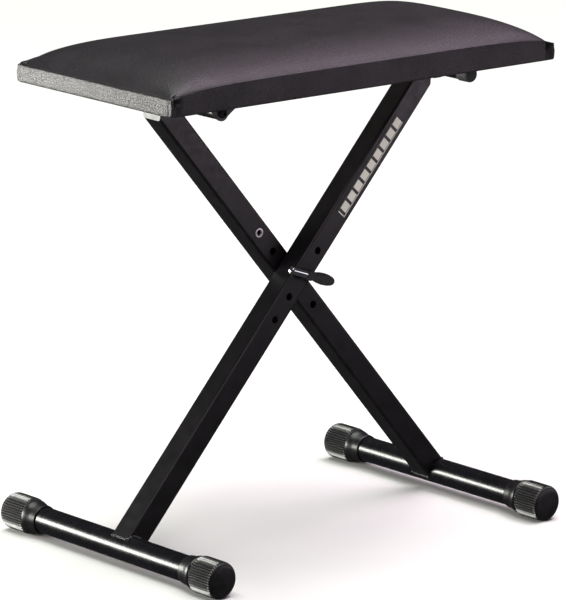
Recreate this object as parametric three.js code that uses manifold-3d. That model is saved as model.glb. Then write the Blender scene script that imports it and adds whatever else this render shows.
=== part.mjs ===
// Folding X-frame piano bench: two square-tube legs cross on a pull-out lock pin, each leg ends
// in a round foot bar with ribbed caps, and a padded seat is hinged on one top bar and hooked
// over the other.
//
// Millimetres. +X runs along the seat, -Y is the side of the lock pin's handle, +Z is up. The
// origin is on the floor below the middle of the bench.

import * as THREE from "three";
import Module from "manifold-3d";

const wasm = await Module();
wasm.setup();

const GAP = 0.3; // air between two pieces that touch in the real bench

const LEG_ANGLE = THREE.MathUtils.degToRad(48.4); // from the floor
const LEG_TUBE = 28.6;
const LEG_WALL = 1.6;
const LEG_CORNER = 3.0;
const LEG_LAP = 0.3; // the legs' inner faces stand this far each side of the middle plane
const PIN_TO_FOOT = 372.4;

const LOCK_HOLE_RADIUS = 4.4;
const LOCK_HOLE_PITCH = 31.5;
const FRONT_LOCK_HOLES = [-2, -1, 0, 1];
const REAR_LOCK_HOLES = [-2, -1, 0, 1, 2];

const FOOT_RADIUS = 15;
const FOOT_WALL = 1.6;
const CAP_RADIUS = 21;
const CAP_END = 182; // from the middle of a foot bar to the end of its cap
const CAP_FLOOR = 8;
const CAP_RIBS = 40;
const CAP_RIB_DEPTH = 1.0;

const TOP_BAR_RADIUS = 8;
const TOP_BAR_WALL = 1.5;
const TOP_BAR_HALF = 92;
const TOP_BAR_X = 186;
const TOP_BAR_ABOVE_PIN = 217;
const LEG_TRIM_X = 190; // the outer corner of each leg's top is trimmed to this

const SEAT_ABOVE_PIN = 228;
const SEAT_HALF_X = 287;
const SEAT_HALF_Y = 131;
const SEAT_THICKNESS = 51;
const SEAT_CORNER = 14;
const BAND_AT_ENDS = 20;
const BAND_AT_MIDDLE = 29;
const CROWN_POWER = 3.8;
const WRAP = 4; // thickness of the cover and padding beside the board
const BOARD_THICKNESS = 12;

const PLATE = 2.5; // bracket steel
const BOLT_RADIUS = 3;
const SCREW_RADIUS = 2;
const SCREW_CLEARANCE = 0.35;

const PIN_Z = CAP_RADIUS + PIN_TO_FOOT * Math.sin(LEG_ANGLE);
const SEAT_Z = PIN_Z + SEAT_ABOVE_PIN;
const LEG_OUTER_Y = LEG_LAP + LEG_TUBE;

const finish = {
  frame: { color: 0x17151b, roughness: 0.42, metalness: 0.3 },
  gloss: { color: 0x0c0b10, roughness: 0.2, metalness: 0.3 },
  rubber: { color: 0x121113, roughness: 0.7, metalness: 0.0 },
  plastic: { color: 0x141316, roughness: 0.5, metalness: 0.0 },
  chrome: { color: 0xc9ccd2, roughness: 0.15, metalness: 1.0 },
  steel: { color: 0x9a9da3, roughness: 0.35, metalness: 1.0 },
  vinyl: { color: 0x1d1a21, roughness: 0.5, metalness: 0.0 },
  board: { color: 0x8a6f4c, roughness: 0.8, metalness: 0.0 },
  label: { color: 0xd9d7d2, roughness: 0.3, metalness: 0.0 },
};

// ---------------------------------------------------------------- geometry helpers

/** A three.js geometry as a Manifold, with vertices at one position merged. */
function solid(geometry) {
  const position = geometry.getAttribute("position");
  const order = geometry.index ? Array.from(geometry.index.array) : [...Array(position.count).keys()];
  const seen = new Map();
  const vertices = [];
  const triangles = order.map((i) => {
    const point = [position.getX(i), position.getY(i), position.getZ(i)];
    const key = point.map((v) => Math.round(v * 1e4)).join(" ");
    if (!seen.has(key)) {
      seen.set(key, vertices.length / 3);
      vertices.push(...point);
    }
    return seen.get(key);
  });
  const kept = [];
  for (let i = 0; i < triangles.length; i += 3) {
    const [a, b, c] = triangles.slice(i, i + 3);
    if (a !== b && b !== c && c !== a) kept.push(a, b, c);
  }
  return new wasm.Manifold(
    new wasm.Mesh({
      numProp: 3,
      vertProperties: new Float32Array(vertices),
      triVerts: new Uint32Array(kept),
    }),
  );
}

/** A Manifold back as a three.js geometry. */
function geometryOf(manifold) {
  const mesh = manifold.getMesh();
  const geometry = new THREE.BufferGeometry();
  geometry.setAttribute("position", new THREE.BufferAttribute(new Float32Array(mesh.vertProperties), 3));
  geometry.setIndex(new THREE.BufferAttribute(new Uint32Array(mesh.triVerts), 1));
  geometry.computeVertexNormals();
  return geometry;
}

/** One body with the others cut away. */
function cut(body, ...tools) {
  return tools.reduce((rest, tool) => rest.subtract(tool), body);
}

/** A flat outline of [x, z] points made into a prism between two planes across Y. */
function prismAcrossY(points, yLow, yHigh) {
  const shape = new THREE.Shape(points.map(([x, z]) => new THREE.Vector2(x, z)));
  const geometry = new THREE.ExtrudeGeometry(shape, { depth: yHigh - yLow, bevelEnabled: false });
  return geometry.rotateX(Math.PI / 2).translate(0, yHigh, 0);
}

/** A profile of [radius, y] points spun about a line along Y through (x, z). */
function turned(profile, segments, x = 0, z = 0) {
  const points = profile.map(([radius, y]) => new THREE.Vector2(radius, y));
  return new THREE.LatheGeometry(points, segments).translate(x, 0, z);
}

/** A round bar along Y. */
function rodAlongY(radius, yLow, yHigh, segments, x = 0, z = 0) {
  const profile = [[0, yLow], [radius, yLow], [radius, yHigh], [0, yHigh]];
  return turned(profile, segments, x, z);
}

/** A round tube along Y, open at both ends. */
function tubeAlongY(radius, wall, half, segments, x, z) {
  const bore = radius - wall;
  const profile = [[bore, -half], [radius, -half], [radius, half], [bore, half], [bore, -half]];
  return turned(profile, segments, x, z);
}

/** The same profile mirrored across Y = 0, kept in the order that a lathe needs. */
function mirrored(profile) {
  return profile.map(([radius, y, ...rest]) => [radius, -y, ...rest]).reverse();
}

/** Rings of equally many points joined into one closed skin, fanned shut at both ends. */
function skin(rings, firstCentre, lastCentre) {
  const count = rings[0].length;
  const vertices = [firstCentre, ...rings.flat(), lastCentre];
  const last = vertices.length - 1;
  const at = (ring, i) => 1 + ring * count + (i % count);
  const faces = [];
  for (let i = 0; i < count; i += 1) {
    faces.push(0, at(0, i + 1), at(0, i));
    for (let ring = 0; ring + 1 < rings.length; ring += 1) {
      faces.push(at(ring, i), at(ring, i + 1), at(ring + 1, i + 1));
      faces.push(at(ring, i), at(ring + 1, i + 1), at(ring + 1, i));
    }
    faces.push(last, at(rings.length - 1, i), at(rings.length - 1, i + 1));
  }
  const geometry = new THREE.BufferGeometry();
  geometry.setAttribute("position", new THREE.Float32BufferAttribute(vertices.flat(), 3));
  geometry.setIndex(faces);
  geometry.computeVertexNormals();
  return geometry;
}

/** A rounded rectangle as a THREE.Shape centred on the origin. */
function roundedRectangle(halfX, halfY, corner) {
  const shape = new THREE.Shape();
  shape.moveTo(halfX, -halfY + corner);
  shape.lineTo(halfX, halfY - corner);
  shape.absarc(halfX - corner, halfY - corner, corner, 0, Math.PI / 2);
  shape.lineTo(-halfX + corner, halfY);
  shape.absarc(-halfX + corner, halfY - corner, corner, Math.PI / 2, Math.PI);
  shape.lineTo(-halfX, -halfY + corner);
  shape.absarc(-halfX + corner, -halfY + corner, corner, Math.PI, 1.5 * Math.PI);
  shape.lineTo(halfX - corner, -halfY);
  shape.absarc(halfX - corner, -halfY + corner, corner, 1.5 * Math.PI, 2 * Math.PI);
  return shape;
}

/** A named mesh in one of the finishes. */
function piece(name, geometry, look) {
  const mesh = new THREE.Mesh(geometry, new THREE.MeshStandardMaterial(finish[look]));
  mesh.name = name;
  return mesh;
}

/** A named group placed at a height. */
function assembly(name, z, pieces) {
  const group = new THREE.Group();
  group.name = name;
  group.position.z = z;
  group.add(...pieces);
  return group;
}

// ---------------------------------------------------------------- legs, measured from the pin

/** A square bar from the foot's axis up along a leg; lean is +1 for a top that goes to +X. */
function legBar(half, corner, from, to, lean, yMiddle) {
  const section = roundedRectangle(half, half, corner);
  const geometry = new THREE.ExtrudeGeometry(section, {
    depth: to - from,
    bevelEnabled: false,
    curveSegments: 4,
  });
  geometry.translate(0, 0, from).rotateY(lean * (Math.PI / 2 - LEG_ANGLE));
  return geometry.translate(0, yMiddle, 0);
}

/** The space a leg may fill: below its top bar and inside its trimmed outer corner. */
function legEnvelope(lean) {
  const top = TOP_BAR_ABOVE_PIN - TOP_BAR_RADIUS - GAP;
  const reach = 2 * PIN_TO_FOOT;
  const outline = [[-reach, -reach], [LEG_TRIM_X, -reach], [LEG_TRIM_X, top], [-reach, top]];
  const sided = lean > 0 ? outline : outline.map(([x, z]) => [-x, z]).reverse();
  return solid(prismAcrossY(sided, -LEG_TUBE * 2, LEG_TUBE * 2));
}

function footCentre(lean) {
  return [-lean * PIN_TO_FOOT * Math.cos(LEG_ANGLE), -PIN_TO_FOOT * Math.sin(LEG_ANGLE)];
}

function leg(lean, side, holes) {
  const yMiddle = side * (LEG_LAP + LEG_TUBE / 2);
  const half = LEG_TUBE / 2;
  const topOfBore = TOP_BAR_ABOVE_PIN / Math.sin(LEG_ANGLE) - 36;
  const outside = solid(legBar(half, LEG_CORNER, -PIN_TO_FOOT, 320, lean, yMiddle));
  const bore = legBar(half - LEG_WALL, LEG_CORNER - LEG_WALL, -PIN_TO_FOOT - 20, topOfBore, lean, yMiddle);
  const [footX, footZ] = footCentre(lean);
  const saddle = rodAlongY(FOOT_RADIUS + GAP + 0.1, -60, 60, 32, footX, footZ);
  const lockHoles = holes.map((step) => {
    const along = step * LOCK_HOLE_PITCH;
    const x = lean * along * Math.cos(LEG_ANGLE);
    const z = along * Math.sin(LEG_ANGLE);
    return solid(rodAlongY(LOCK_HOLE_RADIUS, -60, 60, 18, x, z));
  });
  return geometryOf(cut(outside.intersect(legEnvelope(lean)), solid(bore), solid(saddle), ...lockHoles));
}

// ---------------------------------------------------------------- foot bars and their caps

/** Cap profile as [radius, y, ribbed], from the floor of its socket round to its domed end. */
function capProfile() {
  const socket = FOOT_RADIUS + GAP;
  return [
    [socket, CAP_END - CAP_FLOOR, false],
    [socket, CAP_END - 58, false],
    [socket + 0.9, CAP_END - 58, false],
    [CAP_RADIUS - 3, CAP_END - 46, false],
    [CAP_RADIUS - 1.4, CAP_END - 38, false],
    [CAP_RADIUS, CAP_END - 36.5, true],
    [CAP_RADIUS, CAP_END - 4.5, true],
    [CAP_RADIUS - 3.5, CAP_END - 1, false],
  ];
}

function footCap(x, z, side) {
  const count = 2 * CAP_RIBS;
  const rings = capProfile().map(([radius, y, ribbed]) =>
    [...Array(count).keys()].map((i) => {
      const angle = (-side * 2 * Math.PI * i) / count;
      const grooved = ribbed && i % 2 === 1 ? radius - CAP_RIB_DEPTH : radius;
      return [x + grooved * Math.cos(angle), side * y, z + grooved * Math.sin(angle)];
    }),
  );
  return skin(rings, [x, side * (CAP_END - CAP_FLOOR), z], [x, side * CAP_END, z]);
}

function foot(prefix, lean) {
  const [x, z] = footCentre(lean);
  const half = CAP_END - CAP_FLOOR - GAP;
  return [
    piece(`${prefix}_foot_bar`, tubeAlongY(FOOT_RADIUS, FOOT_WALL, half, 32, x, z), "gloss"),
    piece(`${prefix}_foot_cap_near`, footCap(x, z, -1), "rubber"),
    piece(`${prefix}_foot_cap_far`, footCap(x, z, 1), "rubber"),
  ];
}

// ---------------------------------------------------------------- top bars

function topBar(name, x) {
  const tube = tubeAlongY(TOP_BAR_RADIUS, TOP_BAR_WALL, TOP_BAR_HALF, 20, x, TOP_BAR_ABOVE_PIN);
  return piece(name, tube, "gloss");
}

/** A domed plastic cap pushed over the end of a top bar. */
function topBarCap(name, x, side) {
  const socket = TOP_BAR_RADIUS + GAP;
  const outer = socket + 0.8;
  const profile = [
    [0, TOP_BAR_HALF + GAP],
    [socket, TOP_BAR_HALF + GAP],
    [socket, TOP_BAR_HALF - 9],
    [outer, TOP_BAR_HALF - 9],
    [outer, TOP_BAR_HALF + 4],
    [outer * 0.9, TOP_BAR_HALF + 7],
    [outer * 0.6, TOP_BAR_HALF + 9.4],
    [0, TOP_BAR_HALF + 10.5],
  ];
  return piece(name, turned(side > 0 ? profile : mirrored(profile), 20, x, TOP_BAR_ABOVE_PIN), "plastic");
}

/** A steel plug in the end of the hinged top bar, bored for the hinge bolt. */
function hingePlug(name, side) {
  const stem = TOP_BAR_RADIUS - TOP_BAR_WALL - GAP;
  const bore = BOLT_RADIUS + GAP;
  const profile = [
    [bore, TOP_BAR_HALF - 18],
    [stem, TOP_BAR_HALF - 18],
    [stem, TOP_BAR_HALF + GAP],
    [TOP_BAR_RADIUS, TOP_BAR_HALF + GAP],
    [TOP_BAR_RADIUS, TOP_BAR_HALF + 1.3],
    [bore, TOP_BAR_HALF + 1.3],
    [bore, TOP_BAR_HALF - 18],
  ];
  const points = side > 0 ? profile : mirrored(profile);
  return piece(name, turned(points, 16, -TOP_BAR_X, TOP_BAR_ABOVE_PIN), "steel");
}

function hingeWasher(name, side) {
  const bore = BOLT_RADIUS + GAP;
  const low = TOP_BAR_HALF + 1.3 + GAP;
  const high = low + 1.8;
  const profile = [[bore, low], [7.5, low], [7.5, high], [bore, high], [bore, low]];
  const points = side > 0 ? profile : mirrored(profile);
  return piece(name, turned(points, 16, -TOP_BAR_X, TOP_BAR_ABOVE_PIN), "plastic");
}

const EAR_INNER = TOP_BAR_HALF + 1.3 + GAP + 1.8 + GAP;
const EAR_OUTER = EAR_INNER + PLATE;

function hingeBolt(name, side) {
  const head = EAR_OUTER + GAP;
  const profile = [
    [0, TOP_BAR_HALF - 15],
    [BOLT_RADIUS, TOP_BAR_HALF - 15],
    [BOLT_RADIUS, head],
    [5.6, head],
    [5.2, head + 1.8],
    [3.2, head + 3.2],
    [0, head + 3.6],
  ];
  const points = side > 0 ? profile : mirrored(profile);
  return piece(name, turned(points, 16, -TOP_BAR_X, TOP_BAR_ABOVE_PIN), "chrome");
}

// ---------------------------------------------------------------- the two leg frames

/** A bright bush in the rear leg's highest hole, flush with the face that the front leg sweeps over. */
function eyelet(name) {
  const along = 2 * LOCK_HOLE_PITCH;
  const [low, high] = [LEG_LAP, LEG_LAP + 5];
  const outer = LOCK_HOLE_RADIUS - GAP;
  const bore = outer - 1.2;
  const profile = [[bore, low], [outer, low], [outer, high], [bore, high], [bore, low]];
  const ring = turned(profile, 24, -along * Math.cos(LEG_ANGLE), along * Math.sin(LEG_ANGLE));
  return piece(name, ring, "steel");
}

/** A thin blank label on the front face of the front leg. */
function label(name) {
  const [from, to, half, thickness] = [82, 214, 8, 0.4];
  const geometry = new THREE.BoxGeometry(2 * half, thickness, to - from);
  geometry.translate(0, -LEG_OUTER_Y - GAP / 2 - thickness / 2, (from + to) / 2);
  return piece(name, geometry.rotateY(Math.PI / 2 - LEG_ANGLE), "label");
}

function rearFrame() {
  return assembly("rear_frame", PIN_Z, [
    piece("rear_leg", leg(-1, 1, REAR_LOCK_HOLES), "frame"),
    ...foot("rear", -1),
    topBar("rear_top_bar", -TOP_BAR_X),
    hingePlug("hinge_plug_near", -1),
    hingePlug("hinge_plug_far", 1),
    hingeWasher("hinge_washer_near", -1),
    hingeWasher("hinge_washer_far", 1),
    hingeBolt("hinge_bolt_near", -1),
    hingeBolt("hinge_bolt_far", 1),
    eyelet("rear_leg_eyelet"),
  ]);
}

function frontFrame() {
  return assembly("front_frame", PIN_Z, [
    piece("front_leg", leg(1, -1, FRONT_LOCK_HOLES), "frame"),
    ...foot("front", 1),
    topBar("front_top_bar", TOP_BAR_X),
    topBarCap("front_top_cap_near", TOP_BAR_X, -1),
    topBarCap("front_top_cap_far", TOP_BAR_X, 1),
    label("front_leg_label"),
  ]);
}

// ---------------------------------------------------------------- lock pin and its handle

const HANDLE = {
  y: -LEG_OUTER_Y - 9, // its axis, in front of the front leg
  tilt: THREE.MathUtils.degToRad(19.6), // below level, towards +X
  hubRadius: 6,
  barRadius: 4.8,
  barEnd: -30.6,
};

/** Paddle sections as [distance from the pin, half height, half depth]. */
const PADDLE = [
  [-3, 3.2, 3.2],
  [6, 4.6, 4.2],
  [14, 6.4, 4.8],
  [22, 7.0, 4.8],
  [30, 6.4, 4.3],
  [36, 5.0, 3.5],
  [39.5, 2.8, 2.0],
];

/** Turns and moves a shape made along +X about the pin onto the handle's axis. */
function onHandle(geometry) {
  return geometry.rotateY(HANDLE.tilt).translate(0, HANDLE.y, 0);
}

function handleHub(radius) {
  return rodAlongY(radius, HANDLE.y - HANDLE.hubRadius, -LEG_OUTER_Y - GAP, 32);
}

function handleBar() {
  const r = HANDLE.barRadius;
  const end = HANDLE.barEnd;
  const profile = [[0, end], [r * 0.6, end + 0.5], [r * 0.92, end + 2], [r, end + 4], [r, 0], [0, 0]];
  const bar = turned(profile, 24).rotateZ(-Math.PI / 2);
  return geometryOf(cut(solid(onHandle(bar)), solid(handleHub(HANDLE.hubRadius + GAP))));
}

function paddle() {
  const count = 24;
  const rings = PADDLE.map(([x, high, deep]) =>
    [...Array(count).keys()].map((i) => {
      const angle = (2 * Math.PI * i) / count;
      return [x, deep * Math.cos(angle), high * Math.sin(angle)];
    }),
  );
  const blade = skin(rings, [PADDLE[0][0], 0, 0], [PADDLE.at(-1)[0] + 1.2, 0, 0]);
  const socket = rodAlongY(LOCK_HOLE_RADIUS - 0.1, HANDLE.y, -LEG_OUTER_Y, 24);
  const moulded = solid(handleHub(HANDLE.hubRadius)).add(solid(onHandle(blade)));
  return geometryOf(cut(moulded, solid(socket)));
}

function lockPin() {
  const r = LOCK_HOLE_RADIUS - 0.45;
  const tip = LEG_OUTER_Y + 7;
  const profile = [[0, HANDLE.y + GAP], [r, HANDLE.y + GAP], [r, tip - 3], [r * 0.6, tip], [0, tip]];
  return assembly("lock_pin_set", PIN_Z, [
    piece("lock_pin", turned(profile, 24), "steel"),
    piece("lock_pin_bar", handleBar(), "chrome"),
    piece("lock_pin_grip", paddle(), "plastic"),
  ]);
}

// ---------------------------------------------------------------- seat, measured from its underside

const UNDER = -GAP; // where a bracket's top face lies
const BAR_BELOW = TOP_BAR_ABOVE_PIN - SEAT_ABOVE_PIN; // a top bar's axis

/** Height of the side band at a place along the seat: lower at both ends. */
function bandHeight(x) {
  const rise = BAND_AT_MIDDLE - BAND_AT_ENDS;
  return BAND_AT_ENDS + rise * (1 - Math.min(1, Math.abs(x) / SEAT_HALF_X) ** 8);
}

/** Outline of the seat, drawn in from its edge. */
function seatOutline(inset) {
  const corner = Math.max(SEAT_CORNER - inset, 1);
  const [halfX, halfY] = [SEAT_HALF_X - inset, SEAT_HALF_Y - inset];
  const points = [];
  const arcSteps = 4;
  const corners = [[1, -1, 6], [1, 1, 12], [-1, 1, 6], [-1, -1, 12]];
  corners.forEach(([sx, sy, sideSteps], index) => {
    const centre = new THREE.Vector2(sx * (halfX - corner), sy * (halfY - corner));
    for (let i = 0; i <= arcSteps; i += 1) {
      const angle = ((index - 1) * Math.PI) / 2 + (i / arcSteps) * (Math.PI / 2);
      points.push([centre.x + corner * Math.cos(angle), centre.y + corner * Math.sin(angle)]);
    }
    const [nextX, nextY] = corners[(index + 1) % 4];
    const from = points.at(-1);
    const straight = index % 2 === 0
      ? [from[0], nextY * (halfY - corner)]
      : [nextX * (halfX - corner), from[1]];
    for (let i = 1; i < sideSteps; i += 1) {
      const t = i / sideSteps;
      points.push([from[0] + (straight[0] - from[0]) * t, from[1] + (straight[1] - from[1]) * t]);
    }
  });
  return points;
}

/** The crowned cushion with a pocket for the board in its underside. */
function cushion() {
  const ring = (inset, height) => seatOutline(inset).map(([x, y]) => [x, y, height(x)]);
  const crown = (inset) => (x) => {
    const band = bandHeight(x);
    return band + (SEAT_THICKNESS - band) * (1 - (1 - inset / SEAT_HALF_Y) ** CROWN_POWER);
  };
  const roof = BOARD_THICKNESS + GAP;
  const rings = [
    ring(WRAP, () => roof),
    ring(WRAP, () => 0),
    ring(2.5, () => 0),
    ring(0.4, () => 2.5),
    ring(0, (x) => bandHeight(x) * 0.6),
    ring(1.2, (x) => bandHeight(x) - 1.5),
    ...[4, 10, 20, 35, 58, 90, 120].map((inset) => ring(inset, crown(inset))),
  ];
  return skin(rings, [0, 0, roof], [0, 0, SEAT_THICKNESS]);
}

/** Where the brackets' screws enter the board, as [x, y]. */
function screwPlaces() {
  const hinge = [-202, -170].flatMap((x) => [-1, 1].map((side) => [x, side * (EAR_OUTER + 9)]));
  const hook = [212, 228].flatMap((x) => [-1, 1].map((side) => [x, side * HOOK_Y]));
  return { hinge, hook };
}

function board() {
  const inset = WRAP + GAP;
  const shape = roundedRectangle(SEAT_HALF_X - inset, SEAT_HALF_Y - inset, SEAT_CORNER - inset);
  const { hinge, hook } = screwPlaces();
  for (const [x, y] of [...hinge, ...hook]) {
    shape.holes.push(new THREE.Path().absarc(x, y, SCREW_RADIUS + SCREW_CLEARANCE, 0, 2 * Math.PI, true));
  }
  return new THREE.ExtrudeGeometry(shape, {
    depth: BOARD_THICKNESS,
    bevelEnabled: false,
    curveSegments: 4,
  });
}

/** A screw hole through a bracket's flange. */
function flangeHole([x, y]) {
  const hole = new THREE.CylinderGeometry(SCREW_RADIUS + SCREW_CLEARANCE, SCREW_RADIUS + SCREW_CLEARANCE, 12, 16);
  return solid(hole.rotateX(Math.PI / 2).translate(x, y, UNDER));
}

/** Lobed ear on the hinge bolt, with a flange that is screwed under the board. */
function hingeBracket(side) {
  const lobe = 9;
  const x = -TOP_BAR_X;
  const outline = [[x - 20, UNDER], [x - 20, UNDER - PLATE]];
  for (let i = 0; i <= 12; i += 1) {
    const angle = Math.PI * (1.12 + (i / 12) * 0.72);
    outline.push([x + lobe * Math.cos(angle), BAR_BELOW + lobe * Math.sin(angle)]);
  }
  outline.push([x + 26, UNDER - PLATE], [x + 26, UNDER]);
  const [low, high] = side > 0 ? [EAR_INNER, EAR_OUTER] : [-EAR_OUTER, -EAR_INNER];
  const ear = solid(prismAcrossY(outline, low, high));
  const width = EAR_OUTER + 18 - EAR_INNER;
  const flange = new THREE.BoxGeometry(46, width, PLATE);
  flange.translate(x + 3, side * (EAR_INNER + width / 2), UNDER - PLATE / 2);
  const boltHole = rodAlongY(BOLT_RADIUS + GAP, -200, 200, 24, x, BAR_BELOW);
  const screws = screwPlaces().hinge.filter(([, y]) => Math.sign(y) === side);
  return geometryOf(cut(ear.add(solid(flange)), solid(boltHole), ...screws.map(flangeHole)));
}

const HOOK_Y = 41;
const HOOK_WIDTH = 14;

/** J-shaped hook round the outside and underside of the other top bar, open towards -X. */
function hookBracket(side) {
  const inner = TOP_BAR_RADIUS + 0.5;
  const outer = inner + PLATE;
  const x = TOP_BAR_X;
  const arc = (radius, from, to) =>
    [...Array(9).keys()].map((i) => {
      const angle = from + ((to - from) * i) / 8;
      return [x + radius * Math.cos(angle), BAR_BELOW + radius * Math.sin(angle)];
    });
  const outline = [
    [x + inner, UNDER],
    ...arc(inner, 0, -Math.PI / 2),
    [x - 9, BAR_BELOW - inner],
    [x - 9, BAR_BELOW - outer],
    ...arc(outer, -Math.PI / 2, 0),
    [x + outer, UNDER - PLATE],
    [x + 52, UNDER - PLATE],
    [x + 52, UNDER],
  ];
  const y = side * HOOK_Y;
  const strap = solid(prismAcrossY(outline.reverse(), y - HOOK_WIDTH / 2, y + HOOK_WIDTH / 2));
  const screws = screwPlaces().hook.filter(([, place]) => Math.sign(place) === side);
  return geometryOf(cut(strap, ...screws.map(flangeHole)));
}

/** A pan-head screw driven up through a flange into the board. */
function screw(name, [x, y]) {
  const head = UNDER - PLATE - 0.2;
  const profile = [
    [0, head - 2.2],
    [2.4, head - 1.9],
    [3.8, head - 0.8],
    [4, head],
    [SCREW_RADIUS, head],
    [SCREW_RADIUS, 8],
    [0, 9.5],
  ];
  return piece(name, turned(profile, 10).rotateX(Math.PI / 2).translate(x, y, 0), "steel");
}

function seat() {
  const { hinge, hook } = screwPlaces();
  return assembly("seat", SEAT_Z, [
    piece("seat_board", board(), "board"),
    piece("seat_cushion", cushion(), "vinyl"),
    piece("hinge_bracket_near", hingeBracket(-1), "frame"),
    piece("hinge_bracket_far", hingeBracket(1), "frame"),
    piece("hook_bracket_near", hookBracket(-1), "frame"),
    piece("hook_bracket_far", hookBracket(1), "frame"),
    ...hinge.map((place, i) => screw(`hinge_screw_${i + 1}`, place)),
    ...hook.map((place, i) => screw(`hook_screw_${i + 1}`, place)),
  ]);
}

const bench = new THREE.Group();
bench.name = "piano_bench";
bench.add(rearFrame(), frontFrame(), lockPin(), seat());

export default bench;
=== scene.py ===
"""A folding piano bench: a padded vinyl seat on two crossed legs with a lock pin.

Each sub-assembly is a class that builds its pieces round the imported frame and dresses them.
Shapes are drawn in millimetres in the frame's own axes (X along the seat, Z up) and become
metres when a form is finished.
"""

import logging
import math
from dataclasses import dataclass, field
from enum import Enum
from typing import Iterable, Sequence

import bmesh
import bpy
from mathutils import Matrix, Vector, noise


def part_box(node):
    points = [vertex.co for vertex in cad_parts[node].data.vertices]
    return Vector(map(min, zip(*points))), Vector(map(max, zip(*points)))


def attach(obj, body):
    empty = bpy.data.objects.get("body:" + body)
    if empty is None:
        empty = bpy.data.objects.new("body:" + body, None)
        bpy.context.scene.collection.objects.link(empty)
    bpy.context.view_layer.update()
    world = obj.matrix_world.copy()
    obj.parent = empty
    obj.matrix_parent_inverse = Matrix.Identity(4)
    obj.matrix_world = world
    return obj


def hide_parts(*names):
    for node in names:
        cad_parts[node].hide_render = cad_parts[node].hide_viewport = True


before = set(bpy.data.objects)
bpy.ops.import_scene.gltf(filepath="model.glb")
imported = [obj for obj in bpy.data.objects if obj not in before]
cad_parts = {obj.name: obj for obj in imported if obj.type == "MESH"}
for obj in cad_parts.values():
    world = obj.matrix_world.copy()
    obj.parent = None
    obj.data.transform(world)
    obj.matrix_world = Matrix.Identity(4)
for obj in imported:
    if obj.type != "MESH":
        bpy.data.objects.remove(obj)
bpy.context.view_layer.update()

LOG = logging.getLogger("piano_bench")
MM = 0.001
LEG_ANGLE = math.radians(48.4)  # from level to the leg's length
LEG_TUBE = 28.6  # across the square tube
LEG_LAP = 0.3  # from the middle plane to each leg

Profile = Sequence[tuple[float, float]]
Colour = tuple[float, float, float]
Form = bmesh.types.BMesh


class Body(Enum):
    """The bodies that pieces ride on."""

    REAR = "rear_frame"
    FRONT = "front_frame"
    PIN = "lock_pin_set"
    SEAT = "seat"


class Slot(Enum):
    """Names of material slots; no piece in this script is given one."""

    FRAME = "frame_paint"
    GLOSS = "gloss_paint"
    RUBBER = "cap_rubber"
    PLASTIC = "black_plastic"
    CHROME = "chrome"
    STEEL = "bright_steel"
    VINYL = "vinyl"


# ------------------------------------------------------------------ finishes


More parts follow.
